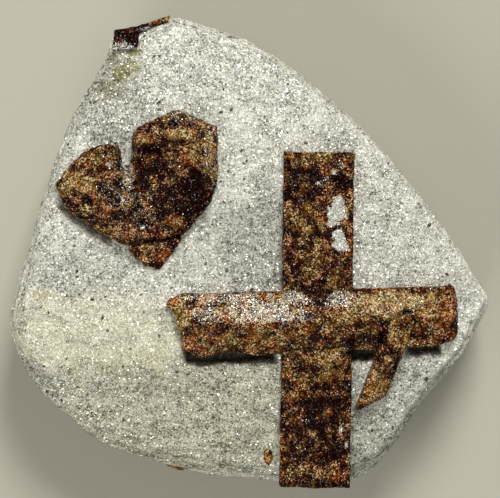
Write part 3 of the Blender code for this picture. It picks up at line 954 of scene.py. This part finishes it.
points = points_of(slab)
x, y, _ = (points / MM).T
ragged = RAGGED * noise_at(points, size=2.0, seed=41)
stain = np.zeros(len(points))
for (x0, y0), (x1, y1), width, depth, darkness in HOLLOWS:
    length = math.hypot(x1 - x0, y1 - y0)
    run = ((x - x0) * (x1 - x0) + (y - y0) * (y1 - y0)) / length
    out = ((x - x0) * (y1 - y0) - (y - y0) * (x1 - x0)) / length  # from the edge, out of the crystal
    along = smooth(run, -END_FADE, END_FADE) * (1 - smooth(run, length - END_FADE, length + END_FADE))
    rim_low, rim_high = (width + fade for fade in OUTER_FADE)
    across = smooth(out, *UNDERCUT) * (1 - smooth(out + ragged, rim_low, rim_high))
    hollow = along * across * (normals[:, 2] > 0.3)
    points[:, 2] -= depth * MM * hollow * (1 + 0.25 * ragged)
    # painted shadow: the hollows are darkened nearly to black
    stain = np.maximum(stain, smooth(hollow, 0.1, 0.75) * darkness)
set_points(slab, points)
store(slab, "stain", stain)
print("vertices in the hollows:", int((stain > 0).sum()))

# %% [markdown]
# ## Shading
#
# The remeshed surfaces are fine squares. Lit one by one they would look like tiles, so their normals are
# smoothed, except across edges sharper than sixty degrees.

# %% Smooth shading
for piece in (slab, *crystals.values()):
    piece.data.shade_smooth()
    piece.data.set_sharp_from_angle(angle=math.radians(60))
print("smoothed pieces:", 1 + len(crystals))

# %% [markdown]
# ## Mica plates
#
# A rendered stone glitters only if its plates are really there. Each one is a flat lozenge with a point
# below, like a drawing pin pressed into the stone, so it is a closed shape of five faces. Geometry Nodes
# scatter them over the slab, lean each one at random, most of them only a little, and give each a shade.
# The same plates, fewer, smaller and flatter, dust the crystals, thickest on the bar's upper face.

# %% Mica material
def make_mica():
    finish = Finish("mica_plates", Roughness=0.3)
    shade = finish.stored("shade")
    body = finish.ramp(
        stone_tone(finish, shade),
        (0.0, (0.05, 0.05, 0.042)), (0.16, (0.26, 0.26, 0.22)),
        (0.45, (0.54, 0.54, 0.47)), (1.0, (0.95, 0.95, 0.88)),
    )
    return finish.wear(
        Base_Color=stone_tints(finish, body),
        Roughness=finish.step(shade, 0.0, 1.0, 0.55, 0.34),
        Metallic=finish.step(shade, 0.35, 0.8) * 0.75,
    )


mica = make_mica()

# %% The scatter as a node tree
PLATE_CORNERS = 4
PLATE_FACES = PLATE_CORNERS + 1
PLATE_TRIANGLES = 2 * PLATE_CORNERS - 2
PLATE_DEPTH, PLATE_SINK = 0.7, 0.55  # as shares of the radius


def scatter_tree():
    """Closed lozenge plates on a surface, denser where its `bare` attribute is higher."""
    tree = bpy.data.node_groups.new("scatter_plates", "GeometryNodeTree")
    sockets = {
        "Surface": "Geometry", "Density": "Float", "Radius": "Float", "Lean": "Float", "Seed": "Int",
        "Material": "Material", "Plates": "Geometry",
    }
    for name, kind in sockets.items():
        direction = "OUTPUT" if name == "Plates" else "INPUT"
        tree.interface.new_socket(name, in_out=direction, socket_type="NodeSocket" + kind)
    graph = Graph(tree)
    given = tree.nodes.new("NodeGroupInput")
    inputs = {s.name: Wire(graph, s) for s in given.outputs if s.name}
    surface, seed = inputs["Surface"], inputs["Seed"]

    def shape(kind, values, **settings):
        """Adds a geometry node and gives its first output."""
        return graph.add("GeometryNode" + kind, settings, values)

    def chance(low, high, offset):
        """A random number for each plate, between low and high."""
        values = {2: low, 3: high, "Seed": seed + offset}
        return graph.add("FunctionNodeRandomValue", {"data_type": "FLOAT"}, values, 1)

    def triple(*values):
        return graph.add("ShaderNodeCombineXYZ", {}, dict(enumerate(values)))

    bare = shape("InputNamedAttribute", {"Name": "bare"}, data_type="FLOAT")
    density = bare * inputs["Density"]
    spread = shape("DistributePointsOnFaces", {"Mesh": surface, "Density": density, "Seed": seed})
    facing = Wire(graph, spread.socket.node.outputs["Rotation"])
    pin = {"Vertices": PLATE_CORNERS, "Radius Top": 1.0, "Radius Bottom": 0.0, "Depth": PLATE_DEPTH}
    plate = shape("Transform", {"Geometry": shape("MeshCone", pin), "Translation": (0, 0, -PLATE_SINK)})

    reach = inputs["Lean"] * chance(0.15, 1.0, 1)
    lean = triple(reach * chance(-1.0, 1.0, 2), reach * chance(-1.0, 1.0, 3), chance(0.0, math.tau, 4))
    turn = graph.add("FunctionNodeEulerToRotation", {}, {0: lean})
    turns = {"Rotation": facing, "Rotate By": turn}
    turned = graph.add("FunctionNodeRotateRotation", {"rotation_space": "LOCAL"}, turns)
    size = inputs["Radius"] * chance(0.55, 1.25, 5)
    scale = triple(size, size * chance(0.6, 1.0, 6), size)

    placed = {"Points": spread, "Instance": plate, "Rotation": turned, "Scale": scale}
    shaded = {"Geometry": shape("InstanceOnPoints", placed), "Name": "shade", "Value": chance(0.0, 1.0, 7)}
    plates = shape("StoreNamedAttribute", shaded, data_type="FLOAT", domain="INSTANCE")
    plates = shape("RealizeInstances", {"Geometry": plates})
    plates = shape("SetMaterial", {"Geometry": plates, "Material": inputs["Material"]})
    result = tree.nodes.new("NodeGroupOutput")
    tree.links.new(plates.socket, result.inputs["Plates"])
    print("scatter nodes:", len(tree.nodes))
    return tree


plate_scatter = scatter_tree()

# %% Scatter the plates
FRONT_PLATES = 20  # per square mm
UPWARD, BACKWARD = (0.35, 0.6), -0.6  # upward share of the normal where the front begins, and the back
PARTING_ABOVE, PARTING_BELOW = -3, -12  # x where the front's plates are parted, so that no piece is heavy


def scatter(name, surface, weights, per_mm2, radius, lean, seed):
    """Runs the scatter over a surface and keeps only the plates; radius in mm, lean in radians."""
    piece = bpy.data.objects.new(name, surface.data.copy())
    link(piece)
    store(piece, "bare", weights)
    mod = piece.modifiers.new("plates", "NODES")
    mod.node_group = plate_scatter
    settings = {
        "Density": per_mm2 / MM ** 2, "Radius": radius * MM, "Lean": lean, "Seed": seed, "Material": mica,
    }
    for item in plate_scatter.interface.items_tree:
        if item.name in settings:
            mod[item.identifier] = settings[item.name]
    apply_modifiers(piece)
    plates = len(piece.data.polygons) // PLATE_FACES
    print(name, "plates:", plates, "triangles:", plates * PLATE_TRIANGLES)
    return piece


def covered(points):
    """1 where a crystal stands over a point of the slab, 0 where the stone is bare."""
    sky = Vector((0, 0, 1))
    graph = bpy.context.evaluated_depsgraph_get()
    trees = [BVHTree.FromObject(crystal, graph) for crystal in crystals.values()]
    result = np.zeros(len(points))
    for i, point in enumerate(points):
        hits = (tree.ray_cast(Vector(point), sky) for tree in trees)
        result[i] = any(place is not None and normal.z > 0 for place, normal, _, _ in hits)
    return result


points, normals = points_of(slab), normals_of(slab)
x, y, z = (points / MM).T
up = normals[:, 2]
open_stone = 1 - covered(points)
front = open_stone * smooth(up, *UPWARD)
front_outside_hollows = front * (1 - stain)
parts = {  # name: (weights, plates per square mm)
    "upper_left_mica": (front * (y > 0) * (x <= PARTING_ABOVE), FRONT_PLATES),
    "upper_right_mica": (front * (y > 0) * (x > PARTING_ABOVE), FRONT_PLATES),
    "lower_left_mica": (front_outside_hollows * (y <= 0) * (x <= PARTING_BELOW), FRONT_PLATES),
    "lower_right_mica": (front_outside_hollows * (y <= 0) * (x > PARTING_BELOW), FRONT_PLATES),
    "side_mica": (open_stone * (1 - smooth(up, *UPWARD)) * (up > BACKWARD), 6),
    "back_mica": ((up <= BACKWARD) * (z > 0.4), 3),
}
plates = [
    scatter(name, slab, weights, per_mm2, radius=0.125, lean=0.85, seed=50 + i)
    for i, (name, (weights, per_mm2)) in enumerate(parts.items())
]
for i, node in enumerate(("cross_twin", "heart_twin")):
    piece = crystals[node]
    coating = weight_of(piece, "dust") * 0.8 + weight_of(piece, "flash") * 0.7 + 0.11
    coating *= (normals_of(piece)[:, 2] > 0.3)
    name = node.replace("twin", "mica")
    plates.append(scatter(name, piece, coating, per_mm2=14, radius=0.072, lean=0.7, seed=70 + i))

# %% [markdown]
# ## Dark grains
#
# The schist is peppered with dark biotite and garnet grains. The largest are placed one by one, the rest
# are strewn at random. They lie along the felt, so most are longer from left to right. Each is a squashed
# twenty-faced ball, sunk to its waist.

# %% Shape and finish of a dark grain
def add_grain(bm, centre, normal, length, width, turn, shade, layer):
    """A squashed ball on the surface; its vertices carry its shade."""
    ball = bmesh.ops.create_icosphere(bm, subdivisions=1, radius=0.5)["verts"]
    upright = normal.to_track_quat("Z", "Y").to_matrix()
    c, s = math.cos(math.radians(turn)), math.sin(math.radians(turn))
    for vert in ball:
        px, py, pz = vert.co.x * length, vert.co.y * width, vert.co.z * min(0.45, width)
        vert.co = centre + upright @ (Vector((c * px - s * py, s * px + c * py, pz)) * MM)
        vert[layer] = shade


def make_grain_finish():
    finish = Finish("dark_grains", Roughness=0.4)
    body = finish.ramp(
        finish.stored("shade"),
        (0.0, (0.012, 0.013, 0.010)), (0.5, (0.05, 0.052, 0.042)), (1.0, (0.16, 0.16, 0.135)),
    )
    return finish.wear(Base_Color=body)


grain_finish = make_grain_finish()

# %% Strew the dark grains
GRAINS = (  # x, y, length, width, turn in degrees: the large ones, in mm
    (-24.3, -3.2, 0.7, 0.5, 60), (-22.3, -7.1, 0.75, 0.45, 20), (-28.4, -8.8, 0.55, 0.38, 100),
    (-31.7, -8.1, 0.4, 0.28, 0), (-15.3, -6.4, 0.85, 0.24, 22), (-20.7, -9.5, 1.1, 0.42, 75),
    (-16.7, -13.9, 0.42, 0.28, 0), (-16.5, -15.8, 0.42, 0.26, 20), (-20.8, -16.9, 0.45, 0.2, 25),
    (-24.4, -19.4, 0.4, 0.28, 0), (-28.6, -20.1, 0.55, 0.5, 0), (-10.3, -17.2, 0.85, 0.34, -8),
    (-8.8, -17.6, 0.6, 0.34, 25), (-6.7, -18, 0.42, 0.26, 0), (-2.3, -18.7, 0.55, 0.28, -10),
    (-3.2, -19.8, 0.4, 0.36, 0), (-12.9, 20.6, 1.25, 0.42, 28), (5.3, 16.3, 0.45, 0.28, 0),
    (18.4, 10.4, 0.45, 0.28, 30), (24.9, 3.4, 0.9, 0.6, 70), (24.7, -18, 0.8, 0.55, 40),
    (17.2, -25.4, 0.55, 0.5, 0), (-13.7, -26.3, 0.4, 0.28, 0), (-30.3, 2.2, 0.3, 0.28, 0),
    (-4, 25.6, 0.4, 0.28, 20), (-9.9, 24, 0.3, 0.28, 0), (-19, 20, 0.4, 0.24, 0), (20, -14.8, 0.5, 0.3, 10),
    (-24, 26, 0.3, 0.2, 0), (2, -22.6, 0.5, 0.26, 5),
)
SHOWN_SHARE = 0.9  # how much of the size above the ball takes up
STREWN = 380

dice = np.random.default_rng(7)
free = np.flatnonzero((open_stone > 0.5) & (up > 0.5) & (stain < 0.1))
bm = bmesh.new()
layer = bm.verts.layers.float.new("shade")
for gx, gy, length, width, turn in GRAINS:
    nearest = free[np.argmin(np.hypot(x[free] - gx, y[free] - gy))]
    centre, normal = Vector(points[nearest]), Vector(normals[nearest])
    length, width = length * SHOWN_SHARE, width * SHOWN_SHARE
    add_grain(bm, centre, normal, length, width, turn, dice.uniform(0.0, 0.15), layer)
for nearest in dice.choice(free, STREWN, replace=False):
    centre, normal = Vector(points[nearest]), Vector(normals[nearest])
    width = 0.16 + 0.30 * dice.random() ** 3
    length = width * dice.uniform(1.0, 1.8)
    turn = dice.normal(loc=12, scale=30)
    add_grain(bm, centre, normal, length, width, turn, dice.uniform(0.25, 1.0), layer)
dark_grains = new_object("dark_grains", bm, grain_finish)
print("dark grains:", len(GRAINS) + STREWN)

# %% [markdown]
# ## Floor
#
# The stone lies on a plain pale card with the faintest unevenness in its tone. One flat disc is enough,
# so broad that its edge stays far behind the stone.

# %% Floor
def make_floor():
    finish = Finish("floor_card", Roughness=0.85)
    body = finish.mix(finish.noise(0.004), (0.38, 0.37, 0.31), (0.44, 0.43, 0.365))
    bm = bmesh.new()
    bmesh.ops.create_circle(bm, cap_ends=True, segments=64, radius=3.0)
    return new_object("floor", bm, finish.wear(Base_Color=body))


floor = make_floor()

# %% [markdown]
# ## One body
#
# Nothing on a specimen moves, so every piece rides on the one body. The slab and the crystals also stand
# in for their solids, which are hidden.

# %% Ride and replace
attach(slab, "root")
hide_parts("schist_matrix")
for piece in (*plates, dark_grains):
    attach(piece, "root")
for node, piece in crystals.items():
    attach(piece, "root")
    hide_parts(node)
